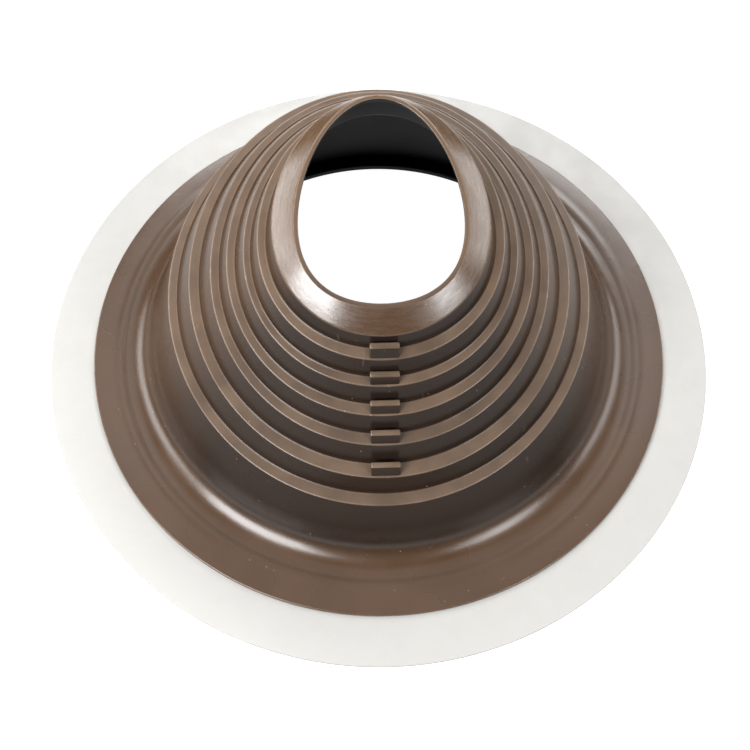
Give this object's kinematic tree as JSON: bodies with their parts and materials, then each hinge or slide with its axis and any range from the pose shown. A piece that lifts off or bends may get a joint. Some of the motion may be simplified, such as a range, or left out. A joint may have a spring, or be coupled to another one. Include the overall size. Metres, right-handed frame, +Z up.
{
  "type": "pipe flashing boot",
  "caption": "Round roof pipe flashing: a stepped hollow rubber cone that leans forward, with an oval mouth and a column of lugs, on a flat soft aluminium ring.",
  "frame": {"origin": "centre of the round base on the roof surface", "axes": "+Z up from the roof surface; the boot leans and its lug column faces -Y; +X to the right seen from the front"},
  "size_m": [0.3799, 0.38, 0.1663],
  "materials": {
    "boot_rubber": "satin moulded rubber, brown, glossy on the step edges",
    "ring_aluminium": "matte off-white soft sheet"
  },
  "bodies": {
    "root": {"rubber_boot": "boot_rubber", "base_ring": "ring_aluminium"}
  },
  "joints": []
}
